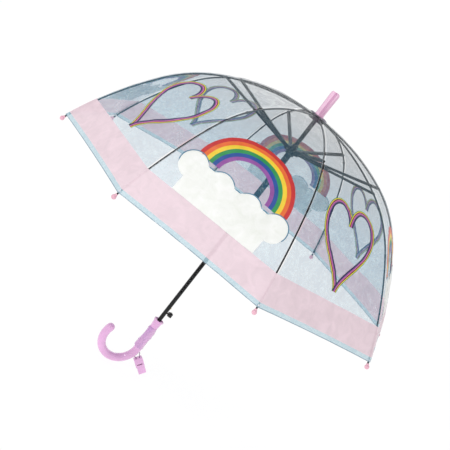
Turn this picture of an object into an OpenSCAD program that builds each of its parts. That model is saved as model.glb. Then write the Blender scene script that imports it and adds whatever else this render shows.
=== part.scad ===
// Children's dome umbrella with eight folding ribs, a spring-opened runner and a whistle on the handle.
// Millimetres, +Z up along the shaft. The origin is on the shaft's axis, level with the handle's lowest point.

/* [Canopy and ribs] */
// Length of a rib's flat stretch at the crown
crown_len = 171.5; // [168:0.5:175]
// Angle through which that stretch bends
crown_bend = 22.2; // [20:0.2:24]
// Length of a rib's shoulder
shoulder_len = 113.5; // [105:0.5:120]
// Angle through which the shoulder bends
shoulder_bend = 26.3; // [24:0.1:28]
// Length of a rib's skirt
skirt_len = 190.5; // [180:0.5:200]
// Angle through which the skirt bends
skirt_bend = 16.1; // [14:0.1:18]
// Slope at which a rib leaves the crown
start_slope = 1.5; // [1:0.1:3]
// Thickness of a rib
rib_d = 3; // [2.6:0.1:3.2]
// Thickness of the canopy film
film_t = 0.6; // [0.4:0.1:0.8]
// Direction of the first rib round the shaft
first_rib_angle = 167; // [160:1:172]

/* [Shaft] */
// Height of the ribs' pivots above the tip cup
crown_height = 482; // [478:1:490]
// Outer diameter of the tube
shaft_d = 8; // [7.8:0.1:8]
// Wall thickness of the tube
shaft_wall = 0.6; // [0.5:0.1:0.7]
// Diameter of the ferrule
ferrule_d = 18; // [16:0.5:20]
// Length of the ferrule above the crown
ferrule_len = 53; // [48:1:58]

/* [Runner] */
// Angle that the ribs fold through at the crown
fold_angle = 71; // [68:0.5:71]
// Length of the runner's sleeve below its pivots
sleeve_len = 118; // [110:1:118]
// Outer diameter of the runner's ring
ring_d = 31; // [30:0.5:32]

/* [Handle] */
// Radius of the hook's centre line
hook_r = 38; // [36:1:40]
// Diameter of the handle
handle_d = 16; // [15.5:0.1:16.2]
// Angle that the hook turns through
hook_turn = 201; // [180:1:205]
// Length of the straight grip, with the tip cup
grip_len = 71; // [68:1:76]
// Distance of the button above the tip cup
button_height = 19; // [18:0.5:19.5]

/* [Whistle] */
// Length of the whistle
whistle_len = 35; // [33:1:36]
// Width of the whistle at its chamber
whistle_w = 17; // [15:0.5:17.5]
// Thickness of the whistle
whistle_t = 10; // [9:0.5:11]

/* [Hidden] */
RIBS = 8;

// Colours
PINK = "#EBB4E1";
BLACK = "#17171A";
STEEL = "#A9AEB4";
FILM = [0.8, 0.86, 0.9, 0.45];

// Clearances
play = 0.05;      // radial running fit
side_gap = 0.25;  // between soft panels

// Levels along the shaft
hook_z = hook_r + handle_d / 2;
cup_z = hook_z + grip_len;
cup_len = 15;
pivot_z = cup_z + crown_height;
crown_z = pivot_z + 4.2;
button_z = cup_z + button_height;
shaft_r = shaft_d / 2;
bore_r = shaft_r - shaft_wall;
rib_r = rib_d / 2;

// Rib: three arcs from the notch wire to the ball tip. A place on it is [radius, height, slope].
wire_ring_r = 11.84;
rib_len = crown_len + shoulder_len + skirt_len;
clip_s = crown_len;   // where the stretcher joins, along the rib
flex_s = 200;         // where the rib's spring steel is given its hinge
rib_start = [wire_ring_r, pivot_z, start_slope];
function bend_r(len, bend) = len / (bend * PI / 180);
function along(p, R, len) = let (a = p[2] + len / R * 180 / PI)
    [p[0] + R * (sin(a) - sin(p[2])), p[1] + R * (cos(a) - cos(p[2])), a];
crown_r = bend_r(crown_len, crown_bend);
shoulder_r = bend_r(shoulder_len, shoulder_bend);
skirt_r = bend_r(skirt_len, skirt_bend);
shoulder_start = along(rib_start, crown_r, crown_len);
skirt_start = along(shoulder_start, shoulder_r, shoulder_len);
function rib_at(s) =
    s <= crown_len ? along(rib_start, crown_r, s)
    : s <= crown_len + shoulder_len ? along(shoulder_start, shoulder_r, s - crown_len)
    : along(skirt_start, skirt_r, s - crown_len - shoulder_len);
function rib_angle(k) = first_rib_angle + (k - 1) * 360 / RIBS;

// Linkage: the stretcher is as long as the rib from notch to clip, so the runner's pivots stay at one radius.
clip = rib_at(clip_s);
flex = rib_at(flex_s);
link_drop = pivot_z - clip[1];
link_run = clip[0] - wire_ring_r;
link_len = norm([link_drop, link_run]);
link_slope = atan2(link_drop, link_run);
runner_z = pivot_z - 2 * link_drop;
runner_travel = 2 * link_len * sin(link_slope + fold_angle) - 2 * link_drop;
drive_z = runner_z - 70;
catch_z = button_z + 11;
slot_angle = -120;

// Whistle and its cord, in the plane of the hook
hang_angle = 50;
hang_from = [6.3, 0, 35];
hang_drop = 10;
cord_r = 0.8;
exit_turns = [7, 21];
loop_r = 3.3;
whistle_top = hang_from + hang_drop * [sin(hang_angle), 0, -cos(hang_angle)];
cord_route = [
    [4.7, 0, 40.8], [6.2, 0, 40.6], [7.7, 0, 40.4], [9.2, 0, 40.2], [10.5, 0, 39.6], [11.4, 0, 38.5],
    [12.3, 0, 36.9], [13.2, 0, 35.2], [14.4, 0, 33.2], [16.1, 0, 31.1], [17.1, 0, 29.4], [17.0, 0, 27.3],
    [15.7, 0, 25.8], [13.7, 0, 25.3], [11.8, 0, 26.1], [10.6, 0, 26.8], [9.0, 0, 27.5], [7.2, 0, 28.2],
    [5.3, 0, 29.1], [3.6, 0, 29.9], [2.2, 0, 30.5]
];

// Cylinder across the plane of a rib, centred on it
module across(r, h) {
    rotate([90, 0, 0]) cylinder(r = r, h = h, center = true, $fn = 32);
}

// Places a shape on rib k
module on_rib(k) {
    rotate([0, 0, rib_angle(k)]) children();
}

// Places a shape at a point of the rib, with x along the rib
module at_rib(p) {
    translate([p[0], 0, p[1]]) rotate([0, p[2], 0]) children();
}

// Round rod along the rib from s0 to s1, which lie on one arc of radius R
module rib_arc(s0, s1, R) {
    a = rib_at(s0);
    b = rib_at(s1);
    translate([a[0] - R * sin(a[2]), 0, a[1] - R * cos(a[2])])
        rotate([90, 0, 0]) rotate([0, 0, 90 - b[2]])
            rotate_extrude(angle = b[2] - a[2], $fn = 360) translate([R, 0]) circle(r = rib_r, $fn = 20);
}

module rib_shape() {
    eye_w = 2;
    difference() {
        union() {
            rib_arc(2.6, crown_len, crown_r);
            rib_arc(crown_len, flex_s - 2.6, shoulder_r);
            // Flattened eye on the notch wire
            at_rib(rib_start) {
                across(2, eye_w);
                translate([0, -eye_w / 2, -1.3]) cube([3.2, eye_w, 2.6]);
            }
            // Clip with the stretcher's rivet
            at_rib(clip) {
                across(2.2, 3.4);
                across(0.9, 6.2);
                for (side = [-1, 1]) translate([0, side * 2.9, 0]) across(1.5, 0.4);
            }
            // Tongue of the flexing place
            at_rib(flex) {
                across(1.9, 1.4);
                translate([-3.2, -0.7, -1.3]) cube([3.2, 1.4, 2.6]);
            }
        }
        at_rib(rib_start) across(0.72, 4);
        at_rib(flex) across(0.6, 4);
    }
}

module rib_end_shape() {
    rib_arc(flex_s + 2.6, crown_len + shoulder_len, shoulder_r);
    rib_arc(crown_len + shoulder_len, rib_len - 3, skirt_r);
    // Crimped sleeve where the two rods meet
    at_rib(skirt_start) translate([-4, 0, 0]) rotate([0, 90, 0]) cylinder(r = 1.8, h = 8, $fn = 32);
    at_rib(flex) {
        across(0.55, 3);
        for (side = [-1, 1]) {
            translate([0, side * 1.2, 0]) across(1.9, 0.8);
            translate([0, side * 1.2 - 0.4, -1.3]) cube([3.2, 0.8, 2.6]);
        }
    }
}

module rib(k) {
    color(BLACK) on_rib(k) rib_shape();
}

module rib_end(k) {
    color(BLACK) on_rib(k) rib_end_shape();
}

// Pink ball with a neck, pushed onto the rib's end
module tip(k) {
    ball_r = 4.3;
    neck_len = 6;
    color(PINK) on_rib(k) at_rib(rib_at(rib_len)) difference() {
        union() {
            sphere(r = ball_r, $fn = 32);
            translate([-neck_len, 0, 0]) rotate([0, 90, 0]) cylinder(r1 = 2.3, r2 = 2.9, h = neck_len, $fn = 32);
        }
        translate([-neck_len - 1, 0, 0]) rotate([0, 90, 0]) cylinder(r = rib_r + 0.12, h = neck_len - 1, $fn = 32);
    }
}

// Channel that ties a rib to the runner. Its plates pass either side of the rib.
module stretcher(k) {
    plate_y = 1.9;
    plate_t = 0.6;
    half_h = 2.2;
    web_from = 45;
    color(BLACK) on_rib(k) translate([clip[0], 0, clip[1]]) rotate([0, 180 - link_slope, 0]) difference() {
        union() {
            for (side = [-1, 1]) translate([0, side * (plate_y + plate_t / 2), 0]) {
                translate([0, -plate_t / 2, -half_h]) cube([link_len, plate_t, 2 * half_h]);
                across(half_h, plate_t);
                translate([link_len, 0, 0]) across(half_h, plate_t);
            }
            translate([web_from, -plate_y - plate_t, -half_h])
                cube([link_len - web_from - 6, 2 * (plate_y + plate_t), plate_t]);
        }
        across(0.9 + play, 8);
        translate([link_len, 0, 0]) across(0.8, 8);
    }
}

// Panels of film between s0 and s1 of the ribs, with straight chords from rib to rib.
// cols holds angles from a rib, in steps of half a gore.
half_gore = 180 / RIBS;
film_low = rib_r + 1.4;    // clears the clips and the stretchers' ends
function film_at(s, off) = let (p = rib_at(s)) [p[0] + off * sin(p[2]), p[1] + off * cos(p[2])];
function film_point(s, off, turn) = let (
        p = film_at(s, off),
        odd = abs(round(turn / half_gore)) % 2,
        r = p[0] * (odd == 1 ? cos(half_gore) : 1),
        slack = side_gap / 2 / r * 180 / PI,
        a = abs(turn) == half_gore ? turn - sign(turn) * slack : turn
    ) [r * cos(a), r * sin(a), p[1]];

module film_panel(s_list, turns) {
    rows = len(s_list);
    cols = len(turns);
    pts = [for (off = [film_low, film_low + film_t]) for (s = s_list) for (t = turns) film_point(s, off, t)];
    skin = rows * cols;
    function id(layer, i, j) = layer * skin + i * cols + j;
    faces = concat(
        [for (i = [0 : rows - 2]) for (j = [0 : cols - 2]) each [
            [id(0, i, j), id(0, i + 1, j), id(0, i, j + 1)],
            [id(0, i + 1, j), id(0, i + 1, j + 1), id(0, i, j + 1)],
            [id(1, i, j), id(1, i, j + 1), id(1, i + 1, j)],
            [id(1, i + 1, j), id(1, i, j + 1), id(1, i + 1, j + 1)]
        ]],
        [for (i = [0 : rows - 2]) each [
            [id(0, i, 0), id(1, i, 0), id(0, i + 1, 0)],
            [id(1, i, 0), id(1, i + 1, 0), id(0, i + 1, 0)],
            [id(0, i, cols - 1), id(0, i + 1, cols - 1), id(1, i, cols - 1)],
            [id(1, i, cols - 1), id(0, i + 1, cols - 1), id(1, i + 1, cols - 1)]
        ]],
        [for (j = [0 : cols - 2]) each [
            [id(0, 0, j), id(0, 0, j + 1), id(1, 0, j)],
            [id(0, 0, j + 1), id(1, 0, j + 1), id(1, 0, j)],
            [id(0, rows - 1, j), id(1, rows - 1, j), id(0, rows - 1, j + 1)],
            [id(0, rows - 1, j + 1), id(1, rows - 1, j), id(1, rows - 1, j + 1)]
        ]]
    );
    polyhedron(points = pts, faces = faces, convexity = 6);
}

// Crown of the canopy, a closed ring of film from the shaft to the flexing places
module canopy_top() {
    steps = 9;
    sides = 2 * RIBS;
    s_list = [for (i = [0 : steps]) i * (flex_s - side_gap) / steps];
    rings = concat(
        [[for (j = [0 : sides - 1]) let (a = rib_angle(1) + j * half_gore)
            [5 * cos(a), 5 * sin(a), rib_at(0)[1] + film_low]]],
        [for (s = s_list) [for (j = [0 : sides - 1]) let (
                p = film_at(s, film_low),
                r = p[0] * (j % 2 == 1 ? cos(half_gore) : 1),
                a = rib_angle(1) + j * half_gore
            ) [r * cos(a), r * sin(a), p[1]]]]
    );
    n = len(rings);
    low = [for (ring = rings) each ring];
    high = [for (p = low) p + [0, 0, film_t]];
    function id(layer, i, j) = layer * n * sides + i * sides + j % sides;
    faces = concat(
        [for (i = [0 : n - 2]) for (j = [0 : sides - 1]) each [
            [id(0, i, j), id(0, i + 1, j), id(0, i, j + 1)],
            [id(0, i + 1, j), id(0, i + 1, j + 1), id(0, i, j + 1)],
            [id(1, i, j), id(1, i, j + 1), id(1, i + 1, j)],
            [id(1, i + 1, j), id(1, i, j + 1), id(1, i + 1, j + 1)]
        ]],
        [for (j = [0 : sides - 1]) each [
            [id(0, 0, j), id(0, 0, j + 1), id(1, 0, j)],
            [id(0, 0, j + 1), id(1, 0, j + 1), id(1, 0, j)],
            [id(0, n - 1, j), id(1, n - 1, j), id(0, n - 1, j + 1)],
            [id(0, n - 1, j + 1), id(1, n - 1, j), id(1, n - 1, j + 1)]
        ]]
    );
    color(FILM) polyhedron(points = concat(low, high), faces = faces, convexity = 6);
}

// Skirt of the canopy that hangs from one rib, out to the middle of the gores beside it
module canopy(k) {
    steps = 12;
    s0 = flex_s + side_gap;
    s1 = rib_len - 13;
    color(FILM) on_rib(k)
        film_panel([for (i = [0 : steps]) s0 + (s1 - s0) * i / steps], [-half_gore, 0, half_gore]);
}

// Slotted steel tube with holes for the button and the catch
module shaft() {
    foot_z = cup_z - 47;
    color(BLACK) difference() {
        translate([0, 0, foot_z]) cylinder(r = shaft_r, h = crown_z + 30 - foot_z, $fn = 48);
        translate([0, 0, foot_z - 1]) cylinder(r = bore_r, h = crown_z + 40 - foot_z, $fn = 48);
        rotate([0, 0, slot_angle]) translate([0, -1.1, drive_z - runner_travel - 4])
            cube([shaft_d, 2.2, runner_travel + 8]);
        translate([0, 0, button_z]) rotate([0, 90, 0]) cylinder(r = 1.2 + play, h = shaft_d, $fn = 32);
        translate([1, -1.5, catch_z - 0.5]) cube([shaft_d, 3, 5]);
    }
}

// Round-ended cap on top of the shaft
module ferrule() {
    r = ferrule_d / 2;
    round_r = 4;
    color(PINK) translate([0, 0, crown_z]) difference() {
        rotate_extrude($fn = 64) {
            square([r, ferrule_len - round_r]);
            square([r - round_r, ferrule_len]);
            translate([r - round_r, ferrule_len - round_r]) intersection() {
                circle(r = round_r, $fn = 48);
                square(round_r);
            }
        }
        translate([0, 0, -1]) cylinder(r = shaft_r + 0.03, h = 32, $fn = 48);
    }
}

// Washer that clamps the film's centre against the notch
module crown_cap() {
    color(PINK) translate([0, 0, crown_z - 0.6]) difference() {
        cylinder(r = 12, h = 0.5, $fn = 64);
        translate([0, 0, -1]) cylinder(r = shaft_r + 0.03, h = 4, $fn = 48);
    }
}

// Slotted disc that the ribs hang in
module top_notch() {
    color(BLACK) difference() {
        translate([0, 0, pivot_z - 6]) cylinder(r = 15, h = 7.7, $fn = 64);
        translate([0, 0, pivot_z - 7]) cylinder(r = shaft_r + 0.03, h = 10, $fn = 48);
        for (k = [1 : RIBS]) on_rib(k) translate([9.2, -1.9, pivot_z - 7]) cube([8, 3.8, 10]);
        translate([0, 0, pivot_z]) rotate_extrude($fn = 96) translate([wire_ring_r, 0])
            circle(r = 0.6 + play, $fn = 24);
    }
}

// Wire ring through the eyes of all ribs
module notch_wire() {
    color(STEEL) translate([0, 0, pivot_z])
        rotate_extrude($fn = 96) translate([wire_ring_r, 0]) circle(r = 0.6, $fn = 24);
}

// Grip with its hook, and two holes for the whistle's cord
module handle() {
    r = handle_d / 2;
    grip_h = grip_len - cup_len;
    color(PINK) difference() {
        union() {
            translate([0, 0, hook_z]) cylinder(r1 = r, r2 = r - 0.8, h = grip_h, $fn = 64);
            // Core that joins the grip to the hook
            translate([0, 0, hook_z - 6]) cylinder(r = r - 2, h = 12, $fn = 64);
            translate([-hook_r, 0, hook_z]) rotate([90, 0, 0]) rotate([0, 0, -hook_turn])
                rotate_extrude(angle = hook_turn, $fn = 180) translate([hook_r, 0]) circle(r = r, $fn = 48);
            translate([-hook_r, 0, hook_z]) rotate([0, hook_turn, 0]) translate([hook_r, 0, 0])
                sphere(r = r, $fn = 48);
        }
        translate([0, 0, cup_z - 48]) cylinder(r = shaft_r + 0.03, h = 50, $fn = 48);
        for (turn = exit_turns) translate([-hook_r, 0, hook_z]) rotate([0, turn, 0])
            translate([hook_r + r - 4, 0, 0]) rotate([0, 90, 0]) cylinder(r = cord_r + 0.4, h = 6, $fn = 24);
    }
}

// Flanged cup at the top of the handle that takes the folded tips
module tip_cup() {
    color(PINK) translate([0, 0, cup_z - cup_len]) difference() {
        union() {
            cylinder(r1 = 7.9, r2 = 8.7, h = cup_len - 2, $fn = 64);
            translate([0, 0, cup_len - 2.6]) cylinder(r = 10.2, h = 2.6, $fn = 64);
        }
        translate([0, 0, -1]) cylinder(r = shaft_r + 0.03, h = cup_len, $fn = 48);
        translate([0, 0, cup_len - 1.6]) cylinder(r = 8.4, h = 2, $fn = 64);
    }
}

// Film wound round the grip
module grip_wrap() {
    low_z = hook_z + 3;
    h = 50;
    taper = 0.8 * h / (grip_len - cup_len);
    inner_r = handle_d / 2 + 0.2;
    color(FILM) translate([0, 0, low_z]) difference() {
        cylinder(r1 = inner_r + 0.4, r2 = inner_r + 0.4 - taper, h = h, $fn = 64);
        translate([0, 0, -0.01]) cylinder(r1 = inner_r, r2 = inner_r - taper, h = h + 0.02, $fn = 64);
    }
}

// Plug in the tube that the opening spring stands on
stop_top = catch_z + 9.5;
module spring_stop() {
    color(STEEL) translate([0, 0, stop_top - 4]) cylinder(r = bore_r - 0.02, h = 4, $fn = 48);
}

// Compression spring inside the tube
module opening_spring() {
    wire_r = 0.35;
    coil_r = 2.6;
    turns = 28;
    per_turn = 10;
    sides = 5;
    low_z = stop_top + wire_r + 0.1;
    high_z = drive_z - 4.5 - wire_r - 0.1;
    n = turns * per_turn;
    pts = [for (i = [0 : n]) for (j = [0 : sides - 1]) let (
            a = i * 360 / per_turn,
            b = j * 360 / sides,
            r = coil_r + wire_r * cos(b)
        ) [r * cos(a), r * sin(a), low_z + (high_z - low_z) * i / n + wire_r * sin(b)]];
    faces = concat(
        [for (i = [0 : n - 1]) for (j = [0 : sides - 1]) let (
                p = i * sides + j,
                q = i * sides + (j + 1) % sides
            ) each [[p, q, p + sides], [q, q + sides, p + sides]]],
        [[for (j = [sides - 1 : -1 : 0]) j]],
        [[for (j = [0 : sides - 1]) n * sides + j]]
    );
    color(STEEL) polyhedron(points = pts, faces = faces, convexity = 20);
}

// Leaf inside the tube with a nose that holds the closed runner
module catch_spring() {
    nose = [[1.6, 0], [5.4, 0], [5.4, 1.2], [3.6, 4], [1.6, 4]];
    color("#C9B48A") {
        translate([0, 1.2, catch_z]) rotate([90, 0, 0]) linear_extrude(2.4) polygon(nose);
        translate([1.6, -1.2, button_z - 14]) cube([0.6, 2.4, catch_z - button_z + 14.5]);
        translate([1.6, -1.2, button_z - 14]) cube([1.5, 2.4, 3]);
    }
}

// Push button on its stem
module push_button() {
    color(BLACK) translate([0, 0, button_z]) {
        rotate([0, 90, 0]) translate([0, 0, 2.6]) cylinder(r = 1.2, h = 6, $fn = 32);
        rotate([0, 90, 0]) translate([0, 0, 2.35]) cylinder(r = 1.8, h = 0.3, $fn = 32);
        intersection() {
            translate([8, -4.5, -4.5]) cube([6.5, 9, 9]);
            rotate([0, 90, 0]) translate([0, 0, 8]) cylinder(r1 = 4.6, r2 = 5.8, h = 6.5, $fn = 48);
        }
    }
}

// Sliding sleeve with a slotted ring for the stretchers and a window for the catch
module runner() {
    sleeve_r = 6;
    hub_r = 9;
    window_z = catch_z + runner_travel - 1;
    color(BLACK) difference() {
        union() {
            translate([0, 0, runner_z - sleeve_len]) cylinder(r = sleeve_r, h = sleeve_len + 12, $fn = 48);
            translate([0, 0, runner_z - 9]) cylinder(r = hub_r, h = 15, $fn = 64);
            translate([0, 0, runner_z - 4]) cylinder(r = ring_d / 2, h = 8, $fn = 96);
        }
        translate([0, 0, runner_z - sleeve_len - 1]) cylinder(r = shaft_r + play, h = sleeve_len + 20, $fn = 48);
        for (k = [1 : RIBS]) on_rib(k) translate([hub_r, -2.9, runner_z - 12]) cube([12, 5.8, 20]);
        translate([0, 0, runner_z]) rotate_extrude($fn = 96) translate([wire_ring_r, 0])
            circle(r = 0.6 + play, $fn = 24);
        translate([1, -2, window_z]) cube([8, 4, 7]);
        rotate([0, 0, slot_angle]) translate([0, 0, drive_z]) rotate([0, 90, 0])
            cylinder(r = 0.93, h = 12, $fn = 32);
    }
}

// Wire in the ring's lands, left open where the stretchers' ends go
module runner_wire() {
    color(STEEL) difference() {
        translate([0, 0, runner_z]) rotate_extrude($fn = 96) translate([wire_ring_r, 0])
            circle(r = 0.6, $fn = 24);
        for (k = [1 : RIBS]) on_rib(k) translate([8, -2.9, runner_z - 2]) cube([8, 5.8, 4]);
    }
}

// Pin from the sleeve through the slot into the plunger
module drive_pin() {
    color(STEEL) rotate([0, 0, slot_angle]) translate([0, 0, drive_z]) rotate([0, 90, 0])
        cylinder(r = 0.9, h = 5.9, $fn = 32);
}

// Piston in the tube that the opening spring pushes on
module spring_plunger() {
    color(STEEL) difference() {
        translate([0, 0, drive_z - 4.5]) cylinder(r = bore_r - 0.08, h = 9, $fn = 48);
        rotate([0, 0, slot_angle]) translate([-0.1, 0, drive_z]) rotate([0, 90, 0])
            cylinder(r = 0.92, h = 8, $fn = 32);
    }
}

// Places a shape at the whistle's top, with z up its length, y towards its back and x across it
module at_whistle() {
    translate(whistle_top) rotate([0, -hang_angle, 0]) children();
}

// Pea whistle: hollow chamber above, flat mouthpiece below, window between
chamber_r = 5.2;
chamber_drop = 11.5;
module whistle() {
    mouth_w = whistle_w - 3;
    body = [
        [-whistle_w / 2 + 1.5, 0], [whistle_w / 2 - 1.5, 0], [whistle_w / 2, -1.5], [whistle_w / 2, -17],
        [mouth_w / 2 + 1, -21], [mouth_w / 2 + 1, -whistle_len + 1], [mouth_w / 2, -whistle_len],
        [-mouth_w / 2 + 1, -whistle_len], [-mouth_w / 2, -whistle_len + 1], [-mouth_w / 2, -21],
        [-whistle_w / 2, -17], [-whistle_w / 2, -1.5]
    ];
    air_w = 2 * chamber_r;
    color(PINK) at_whistle() difference() {
        translate([0, whistle_t / 2, 0]) rotate([90, 0, 0]) linear_extrude(whistle_t) polygon(body);
        // Mouthpiece, half as deep as the chamber
        difference() {
            translate([-whistle_w, 0.2, -whistle_len - 1])
                cube([2 * whistle_w, whistle_t, whistle_len - chamber_drop + 1]);
            translate([-whistle_w - 1, 0, -chamber_drop]) rotate([0, 90, 0])
                cylinder(r = whistle_t / 2, h = 2 * whistle_w + 2, $fn = 64);
        }
        // Round chamber, lying across
        translate([-air_w / 2, 0, -chamber_drop]) rotate([0, 90, 0]) cylinder(r = 3.8, h = air_w, $fn = 48);
        // Window to the chamber
        translate([-air_w / 2, -whistle_t, -chamber_drop - 3]) cube([air_w, whistle_t, 2.2]);
        // Air channel from the mouthpiece
        translate([-air_w / 2, -whistle_t / 2 + 1.4, -whistle_len - 1])
            cube([air_w, 2, whistle_len - chamber_drop - 1]);
        // Tunnel for the cord
        rotate([90, 0, 0]) rotate_extrude($fn = 48) translate([loop_r, 0]) circle(r = cord_r + 0.5, $fn = 24);
    }
}

// Ball that rattles in the whistle's chamber
module whistle_pea() {
    color("#C99A62") at_whistle() translate([0, 0.5, -chamber_drop]) sphere(r = 2.6, $fn = 32);
}

// Cord from one hole of the handle, through the whistle's top and back into the other hole
module whistle_cord() {
    sides = 8;
    n = len(cord_route);
    function heading(i) = let (
            v = cord_route[min(i + 1, n - 1)] - cord_route[max(i - 1, 0)]
        ) v / norm(v);
    pts = [for (i = [0 : n - 1]) for (j = [0 : sides - 1]) let (
            h = heading(i),
            up = [-h[2], 0, h[0]],
            a = j * 360 / sides
        ) cord_route[i] + cord_r * (cos(a) * up + sin(a) * [0, 1, 0])];
    faces = concat(
        [for (i = [0 : n - 2]) for (j = [0 : sides - 1]) let (
                p = i * sides + j,
                q = i * sides + (j + 1) % sides
            ) each [[p, p + sides, q], [q, p + sides, q + sides]]],
        [[for (j = [0 : sides - 1]) j]],
        [[for (j = [sides - 1 : -1 : 0]) (n - 1) * sides + j]]
    );
    color("#E6D3DE") polyhedron(points = pts, faces = faces, convexity = 8);
}

shaft();
ferrule();
crown_cap();
top_notch();
notch_wire();
handle();
tip_cup();
grip_wrap();
spring_stop();
opening_spring();
catch_spring();
push_button();
runner();
runner_wire();
drive_pin();
spring_plunger();
whistle();
whistle_pea();
whistle_cord();
canopy_top();
for (k = [1 : RIBS]) {
    rib(k);
    rib_end(k);
    tip(k);
    stretcher(k);
    canopy(k);
}
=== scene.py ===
"""Children's dome umbrella: clear film canopy with printed gores, wire frame, hooked handle and whistle."""

import math

import bmesh
import bpy
from mathutils import Matrix, Vector, noise


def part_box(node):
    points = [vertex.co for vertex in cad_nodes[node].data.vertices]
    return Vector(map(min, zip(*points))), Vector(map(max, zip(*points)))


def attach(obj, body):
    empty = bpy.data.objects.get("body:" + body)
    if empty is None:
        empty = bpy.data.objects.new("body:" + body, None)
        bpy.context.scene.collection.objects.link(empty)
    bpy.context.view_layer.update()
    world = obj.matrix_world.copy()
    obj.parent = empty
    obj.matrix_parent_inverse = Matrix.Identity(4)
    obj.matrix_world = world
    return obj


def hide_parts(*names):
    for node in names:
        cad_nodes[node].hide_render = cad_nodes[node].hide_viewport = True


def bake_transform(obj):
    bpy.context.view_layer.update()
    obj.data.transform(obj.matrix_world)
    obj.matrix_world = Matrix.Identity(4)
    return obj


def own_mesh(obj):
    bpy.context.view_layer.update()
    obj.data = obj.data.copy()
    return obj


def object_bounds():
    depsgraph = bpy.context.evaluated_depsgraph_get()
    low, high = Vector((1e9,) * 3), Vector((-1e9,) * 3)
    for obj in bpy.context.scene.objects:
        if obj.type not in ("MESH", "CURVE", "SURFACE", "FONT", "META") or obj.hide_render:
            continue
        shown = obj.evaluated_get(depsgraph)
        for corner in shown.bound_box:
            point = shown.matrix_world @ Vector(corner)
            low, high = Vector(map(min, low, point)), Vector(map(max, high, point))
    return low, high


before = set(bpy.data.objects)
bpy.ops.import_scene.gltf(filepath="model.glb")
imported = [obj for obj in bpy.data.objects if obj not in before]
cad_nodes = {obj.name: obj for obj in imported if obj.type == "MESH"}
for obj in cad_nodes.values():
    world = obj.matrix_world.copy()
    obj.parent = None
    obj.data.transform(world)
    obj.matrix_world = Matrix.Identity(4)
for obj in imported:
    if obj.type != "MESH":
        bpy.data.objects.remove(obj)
cad_low, cad_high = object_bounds()
MM = 0.001

# ---------------------------------------------------------------- camera

CAMERA_AT = Vector((-0.96907, -1.68636, 0.74064))
CAMERA_RIGHT = Vector((0.74745, -0.2805, 0.60219))
CAMERA_UP = Vector((-0.45659, 0.4415, 0.7724))
CAMERA_BACK = Vector((-0.48253, -0.85229, 0.20193))
LENS = 85.9
SENSOR = 36


def make_camera():
    data = bpy.data.cameras.new("camera")
    data.lens = LENS
    data.sensor_width = SENSOR
    data.clip_start = 0.05
    data.clip_end = 50
    camera = bpy.data.objects.new("camera", data)
    bpy.context.scene.collection.objects.link(camera)
    columns = (CAMERA_RIGHT, CAMERA_UP, CAMERA_BACK, CAMERA_AT)
    rows = [[column[i] for column in columns] for i in range(3)]
    camera.matrix_world = Matrix((*rows, (0, 0, 0, 1)))
    bpy.context.scene.camera = camera


make_camera()

# ---------------------------------------------------------------- materials


def linear(red, green, blue):
    """An sRGB colour, 0 to 255, as a linear RGBA."""
    def one(value):
        value /= 255
        return value / 12.92 if value <= 0.04045 else ((value + 0.055) / 1.055) ** 2.4
    return (one(red), one(green), one(blue), 1)


# Sockets of a Mix node that mixes colours
MIX_SHARE, MIX_A, MIX_B, MIX_RESULT = 0, 6, 7, 2


class Nodes:
    """A material's node tree with one Principled shader."""

    def __init__(self, name):
        self.material = bpy.data.materials.new(name)
        self.material.use_nodes = True
        self.tree = self.material.node_tree
        self.shader = self.tree.nodes["Principled BSDF"]
        self.coords = self.add("ShaderNodeTexCoord").outputs["Object"]

    def add(self, kind, **inputs):
        node = self.tree.nodes.new(kind)
        for name, value in inputs.items():
            self.set(node, name.replace("_", " "), value)
        return node

    def set(self, node, name, value):
        if isinstance(value, bpy.types.NodeSocket):
            self.tree.links.new(value, node.inputs[name])
        else:
            node.inputs[name].default_value = value

    def noise(self, scale, detail=4, distortion=0.0, rough=0.5, vector=None):
        node = self.add("ShaderNodeTexNoise", Vector=vector or self.coords, Scale=scale,
                        Detail=detail, Distortion=distortion, Roughness=rough)
        return node.outputs["Fac"]

    def stretched(self, scale):
        """Object coordinates scaled by axis."""
        node = self.add("ShaderNodeMapping", Vector=self.coords)
        node.inputs["Scale"].default_value = scale
        return node.outputs["Vector"]

    def ramp(self, value, *stops):
        """Colours by position; the first two stops replace the ramp's own."""
        node = self.add("ShaderNodeValToRGB", Fac=value)
        elements = node.color_ramp.elements
        for i, (at, colour) in enumerate(stops):
            element = elements[i] if i < 2 else elements.new(at)
            element.position = at
            element.color = colour
        return node.outputs["Color"]

    def range(self, value, low, high, to_low, to_high):
        node = self.add("ShaderNodeMapRange", Value=value, From_Min=low, From_Max=high,
                        To_Min=to_low, To_Max=to_high)
        return node.outputs["Result"]

    def math(self, operation, a, b=0.0):
        node = self.tree.nodes.new("ShaderNodeMath")
        node.operation = operation
        self.set(node, 0, a)
        self.set(node, 1, b)
        return node.outputs[0]

    def mix(self, share, a, b):
        """Colour a, turned into colour b by a share."""
        node = self.tree.nodes.new("ShaderNodeMix")
        node.data_type = "RGBA"
        self.set(node, MIX_SHARE, share)
        self.set(node, MIX_A, a)
        self.set(node, MIX_B, b)
        return node.outputs[MIX_RESULT]

    def bump(self, height, distance):
        node = self.add("ShaderNodeBump", Height=height, Distance=distance, Strength=1.0)
        self.set(self.shader, "Normal", node.outputs["Normal"])

    def finish(self, **inputs):
        for name, value in inputs.items():
            self.set(self.shader, name.replace("_", " "), value)
        return self.material


def grey(value):
    return (value, value, value, 1)


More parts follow.
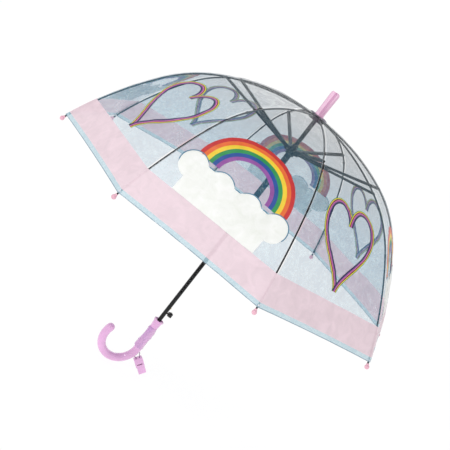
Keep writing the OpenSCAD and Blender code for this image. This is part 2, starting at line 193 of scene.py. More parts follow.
def plastic(name, colour, rough=0.22, mottle=0.04, coat=0.4, grain=900, depth=0.00003):
    """Moulded plastic: slight mottle, fine grain, clear gloss."""
    n = Nodes(name)
    tone = n.noise(34, 5, 0.6)
    dark = tuple(c * (1 - mottle * 2.4) for c in colour[:3]) + (1,)
    light = tuple(min(1, c * (1 + mottle)) for c in colour[:3]) + (1,)
    base = n.ramp(tone, (0.32, dark), (0.68, light))
    scuff = n.noise(160, 6, 1.2)
    n.bump(n.math("ADD", n.noise(grain, 3), n.math("MULTIPLY", scuff, 0.6)), depth)
    return n.finish(Base_Color=base, Roughness=n.range(scuff, 0.35, 0.75, rough, rough + 0.14),
                    Coat_Weight=coat, Coat_Roughness=0.12, IOR=1.48)


def painted_wire(name, colour, rough=0.34):
    """Black lacquered steel with worn, slightly paler streaks."""
    n = Nodes(name)
    wear = n.noise(70, 6, 1.5)
    base = n.ramp(wear, (0.4, colour), (0.78, linear(24, 25, 28)), (0.9, linear(56, 58, 64)))
    n.bump(n.noise(500, 3), 0.00001)
    return n.finish(Base_Color=base, Roughness=n.range(wear, 0.3, 0.8, rough, rough + 0.2),
                    Specular_IOR_Level=0.3, Coat_Weight=0.06, Coat_Roughness=0.2)


def bare_steel(name, colour, rough=0.28):
    n = Nodes(name)
    lines = n.noise(60, 4, 0.3, vector=n.stretched((30, 30, 1)))
    dark = tuple(c * 0.7 for c in colour[:3]) + (1,)
    n.bump(lines, 0.00002)
    return n.finish(Base_Color=n.ramp(lines, (0.3, dark), (0.7, colour)), Metallic=0.9,
                    Roughness=n.range(lines, 0.3, 0.7, rough, rough + 0.15))


CROWN_SHADE_FADE = (0.49, 0.58)       # heights between which the painted shade near the crown comes in, m
# How much of the painted shade near the crown is laid on at the top
CROWN_SHADE_SHARE = 0.85


def clear_film(name, tint, pale, alpha, rough=0.2, crease=0.0009, crown=None):
    """Clear plastic film, crinkled from being folded, hazier and paler along its creases, partly as
    painted glints; crown is painted shade: a darker colour near the top, where the film is doubled."""
    n = Nodes(name)
    broad = n.noise(11, 5, 2.2, 0.6)
    fold = n.noise(34, 5, 3.0, 0.6)
    ridge = n.math("ABSOLUTE", n.math("SUBTRACT", fold, 0.5))
    # Paler along the sharp creases: haze, and partly painted glints
    crease_haze_and_glint = n.range(ridge, 0.0, 0.045, 1.0, 0.0)
    haze_and_glint = n.math("ADD", n.math("MULTIPLY", broad, 0.6), n.math("MULTIPLY", crease_haze_and_glint, 0.4))
    base = n.ramp(haze_and_glint, (0.24, tint), (0.66, pale))
    if crown:
        # Painted shade: the film is darker near the top, where it is doubled over the dark frame
        level = n.add("ShaderNodeSeparateXYZ", Vector=n.coords).outputs["Z"]
        base = n.mix(n.range(level, *CROWN_SHADE_FADE, 0.0, CROWN_SHADE_SHARE), base, crown)
    n.bump(n.math("ADD", n.math("MULTIPLY", crease_haze_and_glint, 0.4), n.math("MULTIPLY", broad, 1.6)), crease)
    return n.finish(Base_Color=base, Alpha=alpha, IOR=1.5, Specular_IOR_Level=0.8,
                    Roughness=n.range(broad, 0.3, 0.7, rough, rough + 0.12))


def wound_film():
    """Thin film over pink plastic: broad slanting folds and faint teal and grey glints."""
    n = Nodes("wrap_film")
    folds = n.noise(30, 3, 1.2, vector=n.stretched((1.0, 1.0, 0.35)))
    glint = n.noise(46, 2, 0.6, vector=n.stretched((1.0, 1.0, 0.4)))
    base = n.ramp(folds, (0.3, linear(222, 174, 230)), (0.5, linear(244, 200, 240)),
                  (0.7, linear(252, 222, 248)))
    base = n.mix(n.range(glint, 0.64, 0.72, 0.0, 0.75), base, linear(126, 148, 160))
    n.bump(folds, 0.0012)
    return n.finish(Base_Color=base, Alpha=0.8, Roughness=0.16, IOR=1.5)


def fluted_plastic(name, colour, shade):
    """Glossy moulded plastic with lengthwise streaks of painted light and shade, as its flutes catch them.
    """
    n = Nodes(name)
    # Lengthwise streaks of painted light and shade, between the shade colour and the lit colour
    flute_light_and_shade = n.noise(210, 3, 0.0, vector=n.stretched((1.0, 1.0, 0.03)))
    grain = n.noise(900, 3)
    n.bump(grain, 0.00002)
    return n.finish(Base_Color=n.ramp(flute_light_and_shade, (0.4, shade), (0.58, colour)), Coat_Weight=0.6,
                    Roughness=n.range(grain, 0.3, 0.7, 0.18, 0.26), Coat_Roughness=0.1)


def printed(name, colour, alpha=0.97):
    """Ink on film: almost opaque, faintly uneven, satin."""
    n = Nodes(name)
    tone = n.noise(48, 5, 1.0)
    dark = tuple(c * 0.9 for c in colour[:3]) + (1,)
    light = tuple(min(1, c * 1.04) for c in colour[:3]) + (1,)
    n.bump(n.math("ADD", n.noise(26, 4, 2.0), n.math("MULTIPLY", n.noise(700, 2), 0.05)), 0.0004)
    return n.finish(Base_Color=n.ramp(tone, (0.3, dark), (0.7, light)), Alpha=alpha,
                    Roughness=n.range(tone, 0.3, 0.7, 0.36, 0.5), Specular_IOR_Level=0.4)


PINK = linear(239, 183, 230)
MATERIALS = {
    "pink": plastic("pink_plastic", PINK, rough=0.16, mottle=0.05, coat=0.8),
    "tip": plastic("tip_pink", linear(243, 186, 204), rough=0.2),
    # The ferrule's second, darker pink is painted shade for its flutes
    "ferrule": fluted_plastic("ferrule_pink", linear(252, 206, 232), linear(216, 154, 192)),
    "black": painted_wire("black_lacquer", linear(8, 8, 10)),
    "tube": painted_wire("tube_lacquer", linear(6, 6, 8), 0.24),
    "moulding": plastic("black_plastic", linear(14, 14, 16), rough=0.36, coat=0.05),
    "steel": bare_steel("steel", linear(190, 194, 200)),
    "tan": bare_steel("tan_steel", linear(214, 190, 140), 0.34),
    "cork": plastic("cork", linear(200, 154, 98), rough=0.7, mottle=0.2, coat=0, grain=260,
                    depth=0.0003),
    # The film's crown colour is painted shade near the top
    "film": clear_film("film", linear(10, 116, 156), linear(158, 208, 226), 0.36,
                       crown=linear(70, 84, 92)),
    "over_rib": clear_film("film_over_rib", linear(16, 22, 26), linear(40, 48, 54), 0.05),
    "seam": clear_film("film_seam", linear(176, 188, 196), linear(222, 230, 236), 0.4),
    "hem": clear_film("film_hem", linear(160, 200, 214), linear(190, 220, 230), 0.72, rough=0.4,
                      crease=0.0001),
    "edge": clear_film("film_edge", linear(112, 140, 158), linear(140, 166, 182), 0.9, crease=0.0002),
    "wrap": wound_film(),
    "gather": clear_film("crown_film", linear(120, 118, 134), linear(196, 190, 206), 0.6),
    "cord": plastic("cord", linear(150, 118, 150), rough=0.5, coat=0, grain=1600, depth=0.0002),
    "thread": plastic("thread", linear(240, 236, 242), rough=0.6, coat=0, grain=1500, depth=0.0002),
    "band": printed("band_print", linear(238, 213, 222), 0.92),
}
INKS = {
    "white": (253, 255, 248), "line": (84, 134, 162), "red": (206, 44, 44),
    "orange": (240, 112, 46), "yellow": (250, 214, 52), "green": (44, 152, 84),
    "blue": (34, 82, 160), "navy": (34, 34, 84), "purple": (152, 84, 164),
    "black": (18, 16, 24), "rose": (232, 112, 168),
}
for ink, rgb in INKS.items():
    MATERIALS["ink_" + ink] = printed("ink_" + ink, linear(*rgb))


def finish_node(name, material):
    """Gives a CAD node one of the materials."""
    for slot in cad_nodes[name].material_slots:
        slot.material = MATERIALS[material]


def make_piece(name, points, faces, materials, indices=None):
    """A mesh object from points in metres; indices give each face's material."""
    mesh = bpy.data.meshes.new(name)
    mesh.from_pydata([tuple(p) for p in points], [], faces)
    for material in materials:
        mesh.materials.append(MATERIALS[material])
    if indices:
        mesh.polygons.foreach_set("material_index", indices)
    mesh.polygons.foreach_set("use_smooth", [True] * len(mesh.polygons))
    mesh.validate()
    mesh.update()
    piece = bpy.data.objects.new(name, mesh)
    bpy.context.scene.collection.objects.link(piece)
    return piece


def ring_faces(rings, sides):
    """Faces of a tube whose points come ring by ring."""
    return [(i * sides + j, i * sides + (j + 1) % sides, (i + 1) * sides + (j + 1) % sides,
             (i + 1) * sides + j) for i in range(rings - 1) for j in range(sides)]


# ---------------------------------------------------------------- whistle cord

CORD_R = 0.8 * MM
CORD_SIDES = 12
CORD_TWIST = 1.1 / MM           # radians of twist for each metre
# The route of part.scad, turned from mm into metres
CORD_ROUTE = [Vector(p) * MM for p in (
    (4.7, 0, 40.8), (6.2, 0, 40.6), (7.7, 0, 40.4), (9.2, 0, 40.2), (10.5, 0, 39.6),
    (11.4, 0, 38.5), (12.3, 0, 36.9), (13.2, 0, 35.2), (14.4, 0, 33.2), (16.1, 0, 31.1),
    (17.1, 0, 29.4), (17.0, 0, 27.3), (15.7, 0, 25.8), (13.7, 0, 25.3), (11.8, 0, 26.1),
    (10.6, 0, 26.8), (9.0, 0, 27.5), (7.2, 0, 28.2), (5.3, 0, 29.1), (3.6, 0, 29.9),
    (2.2, 0, 30.5),
)]


def curve_point(points, i, t):
    """A point of the Catmull-Rom curve between points i and i + 1."""
    last = len(points) - 1
    a, b, c, d = (points[min(max(i + k, 0), last)] for k in (-1, 0, 1, 2))
    return 0.5 * (2 * b + (c - a) * t + (2 * a - 5 * b + 4 * c - d) * t * t
                  + (3 * b - a - 3 * c + d) * t ** 3)


def smooth_path(points, per_span):
    path = [curve_point(points, i, k / per_span)
            for i in range(len(points) - 1) for k in range(per_span)]
    return [*path, points[-1]]


def make_cord():
    """Two-strand twisted cord from one hole of the handle to the other."""
    sides = CORD_SIDES
    path = smooth_path(CORD_ROUTE, 4)
    points, run = [], 0.0
    for i, centre in enumerate(path):
        ahead = path[min(i + 1, len(path) - 1)] - path[max(i - 1, 0)]
        ahead.normalize()
        side = Vector((0, 1, 0))
        up = ahead.cross(side)
        for j in range(sides):
            angle = 2 * math.pi * j / sides
            radius = CORD_R * (0.9 + 0.14 * math.cos(2 * (angle - CORD_TWIST * run)))
            points.append(centre + radius * (math.cos(angle) * up + math.sin(angle) * side))
        if i + 1 < len(path):
            run += (path[i + 1] - centre).length
    faces = ring_faces(len(path), sides)
    faces.append(tuple(range(sides - 1, -1, -1)))
    faces.append(tuple((len(path) - 1) * sides + j for j in range(sides)))
    cord = make_piece("whistle_lanyard", points, faces, ["cord"])
    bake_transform(cord)
    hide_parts("whistle_cord")


make_cord()

# ---------------------------------------------------------------- shape of the canopy

RIBS = 8
HALF_GORE = math.pi / RIBS
FIRST_RIB = math.radians(167)
FLEX_S = 200.0      # arc length from the crown to the ribs' flexing places, mm
FILM_OFF = 3.2      # film above the ribs' centre line, mm
BAND_S = (406.0, 458.5)     # printed band, by arc length, mm
RIM_S = 467.0
EDGE = 1.4          # welded edge below the hem, mm
RIM_RISE = 1.5      # how far the rim is drawn up at the middle of a gore, mm
RISE_FROM = 380     # arc length at which that begins, mm
FILM_COLUMNS = 13   # from the seam to the middle of the gore
SEAM = (2.1, 3.5)   # the seam's edges, from the middle of a rib, mm
ARCS = ((171.5, 22.2), (113.5, 26.3), (190.5, 16.1))    # length in mm, bend in degrees
START = (11.84, 599.0, math.radians(1.5))


def along(place, length, radius):
    """Moves along an arc: place is (radius from the axis, height, slope)."""
    slope = place[2] + length / radius
    return (place[0] + radius * (math.sin(slope) - math.sin(place[2])),
            place[1] + radius * (math.cos(slope) - math.cos(place[2])), slope)


def rib_at(s):
    place = START
    for length, bend in ARCS:
        radius = length / math.radians(bend)
        if s <= length or (length, bend) == ARCS[-1]:
            return along(place, s, radius)
        place = along(place, length, radius)
        s -= length


def film_at(s, off=FILM_OFF):
    """Radius, height and slope of the film over a rib, in mm."""
    r, z, slope = rib_at(s)
    return r + off * math.sin(slope), z + off * math.cos(slope), slope


def half_width(s):
    return film_at(s)[0] * math.sin(HALF_GORE)


def gore_angle(g):
    """Direction of the middle of gore g, which lies between ribs g and g + 1."""
    return FIRST_RIB + (g - 0.5) * 2 * HALF_GORE


def ease(t):
    t = min(max(t, 0.0), 1.0)
    return t * t * (3 - 2 * t)


def wrinkle(g, x, s):
    """Height of the film's creases in mm, zero along the ribs."""
    width = half_width(s)
    fade = ease((width - abs(x)) / 16) * ease((s - 12) / 40)
    a = noise.noise(Vector((x / 46 + s / 90, s / 60, g * 7.3)))
    b = noise.noise(Vector((x / 17 - s / 40, s / 30, g * 3.1 + 40)))
    c = abs(noise.noise(Vector((x / 26 + s / 22, s / 64, g * 5.7 + 80))))
    pull = math.exp(-((width - abs(x)) / 34) ** 2) * math.exp(-((RIM_S - s) / 46) ** 2)
    fan = math.sin((width - abs(x)) / 5.2) * pull * 0.9
    return fade * (1.5 * a + 0.6 * b - 1.3 * c + 0.2) + fan * ease((width - abs(x)) / 6)


def gore_point(g, x, s, lift=0.0):
    """A point of the film of gore g, x mm to the right of its middle as seen from outside."""
    r, z, slope = film_at(s)
    angle = gore_angle(g)
    height = lift + wrinkle(g, x, s)
    run = r * math.cos(HALF_GORE) + height * math.sin(slope)
    return Vector((run * math.cos(angle) - x * math.sin(angle),
                   run * math.sin(angle) + x * math.cos(angle),
                   z + height * math.cos(slope))) * MM


def rib_frame(k):
    """The directions out along rib k and across it."""
    angle = FIRST_RIB + (k - 1) * 2 * HALF_GORE
    return (Vector((math.cos(angle), math.sin(angle), 0)),
            Vector((-math.sin(angle), math.cos(angle), 0)))


def fold_axis(k, side, s_low, s_high):
    """The film's own direction away from rib k, square to the rib between two places."""
    out, across = rib_frame(k)
    low, high = film_at(s_low), film_at(s_high)
    start = out * low[0] + Vector((0, 0, low[1]))
    end = out * high[0] + Vector((0, 0, high[1]))
    way = (end - start).normalized()
    chord = across * (side * math.cos(HALF_GORE)) - out * math.sin(HALF_GORE)
    axis = (chord - way * chord.dot(way)).normalized()
    return axis, (start + end) / 2 * MM


LEVELS = {
    "top": {"body": "rib_", "s": (9.0, FLEX_S), "keep": 0.1, "rows": 32},
    "skirt": {"body": "rib_end_", "s": (FLEX_S, RIM_S), "keep": 0.075, "rows": 44},
}


def fold_with(piece, k, side, level):
    """Makes a piece ride on rib k, with a mesh of its own."""
    facts = LEVELS[level]
    axis, anchor = fold_axis(k, side, *facts["s"])
    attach(piece, facts["body"] + str(k))
    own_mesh(piece)


SKINS = ["film", "seam", "band", "hem", "over_rib", "edge"]
BESIDE_RIB = ("over_rib", "seam", "film")


def skin_at(rows, i, column):
    """The material of one face of the film."""
    middle = (rows[i] + rows[i + 1]) / 2
    if middle < BAND_S[0]:
        return BESIDE_RIB[min(column, len(BESIDE_RIB) - 1)]
    if middle < BAND_S[1]:
        return "band"
    return "edge" if i == len(rows) - 2 else "hem"


def film_rows(level):
    low, high = LEVELS[level]["s"]
    rows = LEVELS[level]["rows"]
    found = [low + (high - low) * i / rows for i in range(rows + 1)]
    if level == "skirt":
        for wanted in BAND_S:
            nearest = min(range(len(found)), key=lambda i: abs(found[i] - wanted))
            found[nearest] = wanted
        found.insert(-1, high - EDGE)
    return found


def make_film(k, side, level):
    """Film from rib k to the middle of the gore beside it; side 1 is anticlockwise from above."""
    gore = k if side > 0 else (k - 2) % RIBS + 1
    rows = film_rows(level)
    points, indices, faces = [], [], []
    for s in rows:
        width = half_width(s)
        reach = [0.0, *(min(edge, 0.2 * width) for edge in SEAM)]
        reach += [reach[-1] + (width - reach[-1]) * j / FILM_COLUMNS
                  for j in range(1, FILM_COLUMNS + 1)]
        for across in reach:
            x = -side * (width - across)
            rise = RIM_RISE * (1 - (abs(x) / width) ** 2)
            rise *= ease((s - RISE_FROM) / (RIM_S - RISE_FROM))
            points.append(gore_point(gore, x * half_width(s - rise) / width, s - rise))
    cols = len(reach)
    for i in range(len(rows) - 1):
        for j in range(cols - 1):
            quad = (i * cols + j, (i + 1) * cols + j, (i + 1) * cols + j + 1, i * cols + j + 1)
            faces.append(quad if side > 0 else quad[::-1])
            indices.append(SKINS.index(skin_at(rows, i, j)))
    name = f"film_{level}_{k}_{'left' if side < 0 else 'right'}"
    piece = make_piece(name, points, faces, SKINS, indices)
    width = half_width(rows[-1]) * MM
    fold_with(piece, k, side, level)
    if level == "skirt":
        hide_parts(f"canopy_{k}")


# ---------------------------------------------------------------- prints


THIN = 0.02                     # a strip narrower than this is left out, mm
GRID = (12, 11)                 # the artwork's faces are cut across and down to this size, mm
GRID_HALF = 132                 # half the width that the cuts reach, mm
PRINT_EDGE = 2.6                # the print ends this far from a rib, mm
LEFT_OUT = 3                    # and faces whose middle is nearer than this are left out
PRINT_LIFT = 0.5                # lowest layer above the film, mm
LAYER_LIFT = 0.035              # each next layer above it, mm
NO_AREA = 1e-4                  # mm2


class Art:
    """Flat artwork in gore coordinates: x to the right and s down from the crown, in mm. It is
    drawn upright about a middle at s."""

    def __init__(self, s):
        self.mesh = bmesh.new()
        self.inks = []
        self.layer = 0
        self.s = s

    def face(self, ink, points):
        if ink not in self.inks:
            self.inks.append(ink)
        corners = [self.mesh.verts.new((p[0], self.s - p[1], self.layer)) for p in points]
        self.mesh.faces.new(corners).material_index = self.inks.index(ink)

    def strip(self, ink, points, near, far, per_span, taper=0.0):
        """A strip beside a smooth path, between two distances to its left; taper is the share
        of the path over which each end narrows."""
        path = smooth_path([Vector(p) for p in points], per_span)
        self.layer += 1
        rails = []
        for i, p in enumerate(path):
            ahead = (path[min(i + 1, len(path) - 1)] - path[max(i - 1, 0)]).normalized()
            left = Vector((-ahead.y, ahead.x))
            at = i / (len(path) - 1)
            grow = ease(at / taper) * ease((1 - at) / taper) if taper else 1.0
            rails.append((p + left * near * grow, p + left * far * grow))
        for a, b in zip(rails, rails[1:]):
            if (a[0] - a[1]).length > THIN or (b[0] - b[1]).length > THIN:
                self.face(ink, [a[0], b[0], b[1], a[1]])

    def ellipse(self, ink, x, y, a, b, sides=28):
        self.layer += 1
        steps = [2 * math.pi * i / sides for i in range(sides)]
        self.face(ink, [(x + a * math.cos(t), y + b * math.sin(t)) for t in steps])

    def cut(self, lowest):
        """Cuts the artwork on a grid, so that it can follow the film, and ends it at a level."""
        bmesh.ops.triangulate(self.mesh, faces=self.mesh.faces[:])
        wide, deep = GRID
        lines = [((0, s, 0), (0, 1, 0)) for s in (FLEX_S, *range(12, int(lowest), deep))]
        lines += [((x, 0, 0), (1, 0, 0)) for x in range(-GRID_HALF, GRID_HALF + 1, wide)]
        for at, normal in lines:
            geometry = self.mesh.verts[:] + self.mesh.edges[:] + self.mesh.faces[:]
            bmesh.ops.bisect_plane(self.mesh, geom=geometry, dist=1e-5, plane_co=at,
                                   plane_no=normal)
        geometry = self.mesh.verts[:] + self.mesh.edges[:] + self.mesh.faces[:]
        bmesh.ops.bisect_plane(self.mesh, geom=geometry, dist=1e-5, plane_co=(0, lowest, 0),
                               plane_no=(0, 1, 0), clear_outer=True)


HEART_S = 300.0                 # middle of the heart's curve, by arc length, mm
HEART_SIZE = (3.6, 5.2)         # mm per unit of the heart curve, across and up
# Ink and the distances between which a stripe lies, outside the curve and then inside it, mm
HEART_STRIPES = (("green", 5.6, 4.4), ("yellow", 4.4, 2.8), ("black", 2.8, 1.2),
                 ("rose", 1.2, -0.2), ("purple", -0.2, -2.0), ("navy", -2.0, -5.0))
RAINBOW_S = 330.0               # the rainbow's centre, by arc length, mm
RAINBOW_R = 88.0                # outer radius of the rainbow, mm
RAINBOW_BAND = 7.0
RAINBOW = ("red", "orange", "yellow", "green", "blue", "purple")
CLOUD_TOPS = (-22, -34, -24, -36, -24, -34, -22)    # level of each puff's middle, mm
CLOUD_STEP = 27.0               # from puff to puff, mm
PUFF = (24.0, 26.0)             # half sizes of one puff of cloud, mm
BANK = (-90, -30)               # lowest and highest level of the bank under the puffs, mm
OUTLINE = 1.8                   # width of the line round the clouds, mm
OUTLINE_ENDS = 0.1              # share of that line over which each end narrows


def draw_heart():
    """A plain striped heart, point towards the rim, from the usual heart curve."""
    art = Art(HEART_S)
    steps = [math.pi * i / 16 for i in range(17)]
    for side in (-1, 1):
        half = [(side * HEART_SIZE[0] * 16 * math.sin(t) ** 3,
                 HEART_SIZE[1] * (13 * math.cos(t) - 5 * math.cos(2 * t) - 2 * math.cos(3 * t)
                                  - math.cos(4 * t))) for t in steps]
        for ink, near, far in HEART_STRIPES:
            art.strip(ink, half, side * near, side * far, 5)
    return art


def in_puff(p, puff):
    return math.hypot((p[0] - puff[0]) / PUFF[0], (p[1] - puff[1]) / PUFF[1]) < 1


def draw_rainbow():
    """A plain rainbow that rises from a bank of clouds."""
    art = Art(RAINBOW_S)
    steps = [math.pi * i / 24 for i in range(25)]
    for i, ink in enumerate(RAINBOW):
        middle = RAINBOW_R - (i + 0.5) * RAINBOW_BAND
        arc = [(middle * math.cos(t), middle * math.sin(t)) for t in steps]
        art.strip(ink, arc, -RAINBOW_BAND / 2, RAINBOW_BAND / 2, 3)
    first = -CLOUD_STEP * (len(CLOUD_TOPS) - 1) / 2
    puffs = [(first + CLOUD_STEP * i, top) for i, top in enumerate(CLOUD_TOPS)]
    for x, y in puffs:
        art.ellipse("white", x, y, *PUFF)
    art.layer += 1
    low, high = BANK
    art.face("white", [(first, low), (-first, low), (-first, high), (first, high)])
    for x, y in puffs:
        others = [puff for puff in puffs if puff != (x, y)]
        ring = [(x + PUFF[0] * math.cos(t), y + PUFF[1] * math.sin(t))
                for t in (math.radians(a) for a in range(-30, 211, 6))]
        edge = [p for p in ring if not any(in_puff(p, puff) for puff in others)]
        art.strip("line", edge, -OUTLINE / 2, OUTLINE / 2, 2, OUTLINE_ENDS)
    return art


def make_prints(art, name, gores):
    """Lays the artwork on the gores, one piece for each quarter that folds on its own."""
    art.cut(BAND_S[0])
    for g in gores:
        for side in (-1, 1):
            for level in LEVELS:
                points, faces, indices = [], [], []
                for face in art.mesh.faces:
                    middle = face.calc_center_median()
                    if middle.x * side < 0 or (middle.y < FLEX_S) != (level == "top"):
                        continue
                    if abs(middle.x) > half_width(middle.y) - LEFT_OUT:
                        continue
                    if face.calc_area() < NO_AREA:
                        continue
                    corner = []
                    for v in face.verts:
                        limit = half_width(v.co.y) - PRINT_EDGE
                        x = min(max(v.co.x, -limit), limit)
                        lift = PRINT_LIFT + LAYER_LIFT * v.co.z
                        points.append(gore_point(g, x, v.co.y, lift))
                        corner.append(len(points) - 1)
                    faces.append(corner)
                    indices.append(face.material_index)
                if not faces:
                    continue
                inks = ["ink_" + ink for ink in art.inks]
                piece = make_piece(f"{name}_{g}_{level}_{'left' if side < 0 else 'right'}",
                                   points, faces, inks, indices)
                tidy_print(piece)
                rib = g if side < 0 else g % RIBS + 1
                fold_with(piece, rib, -side, level)


def tidy_print(piece):
    """Joins the points of faces that touch and drops faces with no area."""
    mesh = bmesh.new()
    mesh.from_mesh(piece.data)
    bmesh.ops.remove_doubles(mesh, verts=mesh.verts[:], dist=1e-6)
    bmesh.ops.dissolve_degenerate(mesh, edges=mesh.edges[:], dist=1e-7)
    mesh.normal_update()
    for face in mesh.faces:
        middle = face.calc_center_median()
        if face.normal.dot(Vector((middle.x, middle.y, 0.35))) < 0:
            face.normal_flip()
    mesh.to_mesh(piece.data)
    mesh.free()


for rib in range(1, RIBS + 1):
    for side in (-1, 1):
        for level in LEVELS:
            make_film(rib, side, level)
make_prints(draw_heart(), "heart", (1, 3, 5, 7))
make_prints(draw_rainbow(), "rainbow", (2, 4, 6, 8))

# ---------------------------------------------------------------- crown, ferrule, wrap, ties, catch

GATHER_R = (8.0, 19.0)          # radii of the gathered film, mm
GATHER_ROWS = 10
PLEATS = 24
FILM_FROM = 11.8                # radius at which the film starts over the ribs, mm
FLUTES = 11
FLUTE_DEPTH = 0.75              # mm
WRAP_R = 8.25                   # grip under the wrap, mm
WRAP_TURNS = 1.6
TIE_S = (461.5, 2.8)            # start and length of a tie along the rib, mm
TIE_R = 2.75                    # mm
THREAD_R = 0.36                 # mm


def revolve(name, rows, sides, material, radius_at):
    """A skin of rings: rows hold (radius, height) in mm, and radius_at(angle, row, radius)
    changes a point's radius and gives its lift."""
    points = []
    for i, (radius, height) in enumerate(rows):
        for j in range(sides):
            angle = 2 * math.pi * j / sides
            r, lift = radius_at(angle, i, radius)
            points.append(Vector((r * math.cos(angle), r * math.sin(angle), height + lift)) * MM)
    return make_piece(name, points, ring_faces(len(rows), sides), [material])


def make_crown():
    """Film gathered in small pleats under the ferrule."""
    low, high = GATHER_R
    rows = [(low + (high - low) * i / GATHER_ROWS, 0) for i in range(GATHER_ROWS + 1)]

    def pleat(angle, i, radius):
        _, z, _ = film_at(max(radius - FILM_FROM, 0))
        depth = 1.1 * math.sin(math.pi * i / GATHER_ROWS) ** 0.6
        wave = math.cos(angle * PLEATS + 1.2 * math.sin(3 * angle)) + 0.5 * math.cos(angle * 11)
        return radius, z + 0.9 + depth * wave + (1.2 if i < 2 else 0)

    crown = revolve("crown_gather", rows, 192, "gather", pleat)
    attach(crown, "root")
    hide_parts("canopy_top")


def make_ferrule():
    """Ferrule with shallow flutes along it, a collar at its foot and a rounded end."""
    low, high = (c.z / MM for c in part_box("ferrule"))
    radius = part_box("ferrule")[1].x / MM
    rows = [(radius - 0.6, low), (radius, low + 0.5), (radius, low + 3), (radius - 0.7, low + 3.6)]
    rows += [(radius - 0.7 + 0.5 * t, low + 3.6 + (high - low - 8.6) * t)
             for t in (i / 14 for i in range(1, 15))]
    top = rows[-1]
    rows += [((radius - 5.2) + 5 * math.cos(a), top[1] + 5 * math.sin(a))
             for a in (math.radians(9 * i) for i in range(1, 11))]
    rows += [(0.02, high)]

    def flute(angle, i, r):
        depth = FLUTE_DEPTH if 3 < i < len(rows) - 6 else 0.0
        return r - depth * (0.5 + 0.5 * math.cos(FLUTES * angle)) ** 2, 0

    ferrule = revolve("ferrule_fluted", rows, 144, "ferrule", flute)
    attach(ferrule, "root")
    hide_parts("ferrule")


def make_wrap():
    """Thin film wound round the grip on a slant and drawn tight in creases."""
    low, high = (c.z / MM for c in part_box("grip_wrap"))
    sides, rows = 72, 64
    points, faces = [], []
    for i in range(rows + 1):
        share = i / rows
        for j in range(sides + 1):
            angle = 2 * math.pi * j / sides + 2 * math.pi * WRAP_TURNS * share
            z = low + (high - low) * share
            crease = noise.noise(Vector((math.cos(angle) * 1.2, math.sin(angle) * 1.2, share * 2)))
            fine = abs(noise.noise(Vector((math.cos(angle) + 4, math.sin(angle), share * 3))))
            edge = ease((j / sides - 0.8) / 0.2)
            ends = ease(share / 0.05) * ease((1 - share) / 0.05)
            radius = WRAP_R - 0.75 * share + 0.12 + ends * max(0, 0.6 + 1.1 * crease + 1.3 * fine)
            radius += ends * (0.9 * edge + 1.3 * (1 - share) ** 2 * max(0, -math.cos(angle)))
            points.append(Vector((radius * math.cos(angle), radius * math.sin(angle), z)) * MM)
    cols = sides + 1
    for i in range(rows):
        for j in range(sides):
            faces.append((i * cols + j, i * cols + j + 1, (i + 1) * cols + j + 1,
                          (i + 1) * cols + j))
    wrap = make_piece("grip_film", points, faces, ["wrap"])
    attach(wrap, "root")
    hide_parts("grip_wrap")


def make_ties():
    """Thread loops that tie the film's corners to the ribs' ends."""
    for k in range(1, RIBS + 1):
        out, across = rib_frame(k)
        points = []
        turns, per_turn, sides = 4, 16, 6
        count = turns * per_turn
        for i in range(count + 1):
            r, z, slope = rib_at(TIE_S[0] + TIE_S[1] * i / count)
            way = out * math.cos(slope) - Vector((0, 0, math.sin(slope)))
            up = out * math.sin(slope) + Vector((0, 0, math.cos(slope)))
            turn = 2 * math.pi * i / per_turn
            spoke = up * math.cos(turn) + across * math.sin(turn)
            centre = out * r + Vector((0, 0, z)) + spoke * TIE_R + up * 0.2
            for j in range(sides):
                a = 2 * math.pi * j / sides
                points.append((centre + THREAD_R * (math.cos(a) * spoke + math.sin(a) * way)) * MM)
        tie = make_piece(f"tie_{k}", points, ring_faces(count + 1, sides), ["thread"])
        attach(tie, f"rib_end_{k}")


def make_catch():
    """The catch's wire, which the button pushes back into the shaft."""
    node = cad_nodes["catch_spring"]
    mesh = node.data
    points = [node.matrix_world @ v.co for v in mesh.vertices]
    faces = [tuple(polygon.vertices) for polygon in mesh.polygons]
    catch = make_piece("catch_wire", points, faces, ["tan"])
    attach(catch, "root")
    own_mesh(catch)
    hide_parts("catch_spring")


make_catch()
make_crown()
make_ferrule()
make_wrap()
make_ties()

# ---------------------------------------------------------------- carried-over CAD nodes

FINISHES = {
    "shaft": "tube", "crown_cap": "moulding", "top_notch": "moulding", "notch_wire": "steel",
    "handle": "pink", "tip_cup": "pink", "spring_stop": "steel", "opening_spring": "steel",
    "push_button": "moulding", "runner": "moulding",
    "runner_wire": "steel", "drive_pin": "steel", "spring_plunger": "steel",
    "whistle": "pink", "whistle_pea": "cork",
}
for node, finish in FINISHES.items():
    finish_node(node, finish)
whistle_edges = cad_nodes["whistle"].modifiers.new("soft edges", "BEVEL")
whistle_edges.width = 0.0006
whistle_edges.segments = 3
whistle_edges.limit_method = "ANGLE"
for rib in range(1, RIBS + 1):
    for part, finish in (("rib", "black"), ("rib_end", "black"), ("stretcher", "black"),
                         ("tip", "tip")):
        finish_node(f"{part}_{rib}", finish)

# ---------------------------------------------------------------- floor and light


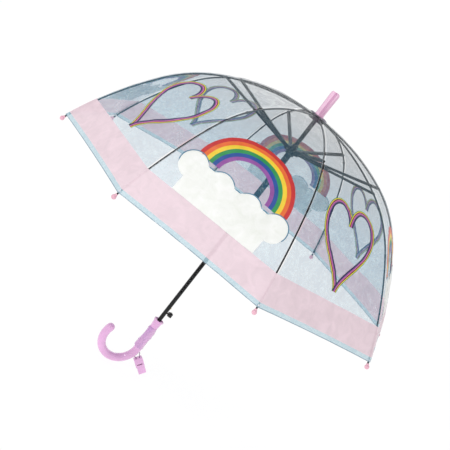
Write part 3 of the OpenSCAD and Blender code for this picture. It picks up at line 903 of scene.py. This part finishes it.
def make_stage():
    """A white paper floor that sweeps up into a backdrop, and soft light."""
    bend, far, side = 1.5, 4.5, 9.0
    sweep = [(-9.0, 0.0), (far - bend, 0.0)]
    sweep += [(far - bend + bend * math.sin(a), bend * (1 - math.cos(a)))
              for a in (math.radians(9 * i) for i in range(1, 11))]
    sweep.append((far, 9.0))
    away = Vector((-CAMERA_BACK.x, -CAMERA_BACK.y, 0)).normalized()
    across = Vector((-away.y, away.x, 0))
    points = [away * run + across * edge + Vector((0, 0, cad_low.z - 0.001 + rise))
              for run, rise in sweep for edge in (-side, side)]
    faces = [(2 * i, 2 * i + 2, 2 * i + 3, 2 * i + 1) for i in range(len(sweep) - 1)]
    mesh = bpy.data.meshes.new("paper")
    mesh.from_pydata(points, [], faces)
    mesh.polygons.foreach_set("use_smooth", [True] * len(faces))
    paper = bpy.data.objects.new("paper", mesh)
    bpy.context.scene.collection.objects.link(paper)
    n = Nodes("paper")
    tone = n.noise(3, 3)
    mesh.materials.append(n.finish(
        Base_Color=n.ramp(tone, (0.3, grey(0.17)), (0.7, grey(0.19))), Roughness=0.9,
        Emission_Color=grey(1.0), Emission_Strength=0.88, Specular_IOR_Level=0.0))
    world = bpy.data.worlds.new("studio")
    bpy.context.scene.world = world
    world.use_nodes = True
    tree = world.node_tree
    background = tree.nodes["Background"]
    background.inputs["Color"].default_value = (0.98, 0.99, 1.0, 1)
    # White round the horizon, as the paper, and dimmer overhead
    heading = tree.nodes.new("ShaderNodeSeparateXYZ")
    tree.links.new(tree.nodes.new("ShaderNodeTexCoord").outputs["Generated"], heading.inputs[0])
    dimming = tree.nodes.new("ShaderNodeMapRange")
    tree.links.new(heading.outputs["Z"], dimming.inputs["Value"])
    for name, value in (("From Min", 0.3), ("From Max", 0.6), ("To Min", 1.0), ("To Max", 0.4)):
        dimming.inputs[name].default_value = value
    tree.links.new(dimming.outputs["Result"], background.inputs["Strength"])
    bpy.context.scene.view_settings.view_transform = "Standard"
    lamps = (("key", (-1.6, -1.2, 1.9), 0.7, 15), ("fill", (1.4, -1.8, 1.2), 1.4, 1),
             ("rim", (0.6, 1.9, 1.7), 0.9, 4))
    for name, at, size, power in lamps:
        lamp = bpy.data.lights.new(name, "AREA")
        lamp.energy = power
        lamp.size = size
        light = bpy.data.objects.new(name, lamp)
        light.location = at
        aim = Vector((0, 0, 0.4)) - Vector(at)
        light.rotation_euler = aim.to_track_quat("-Z", "Y").to_euler()
        bpy.context.scene.collection.objects.link(light)


make_stage()
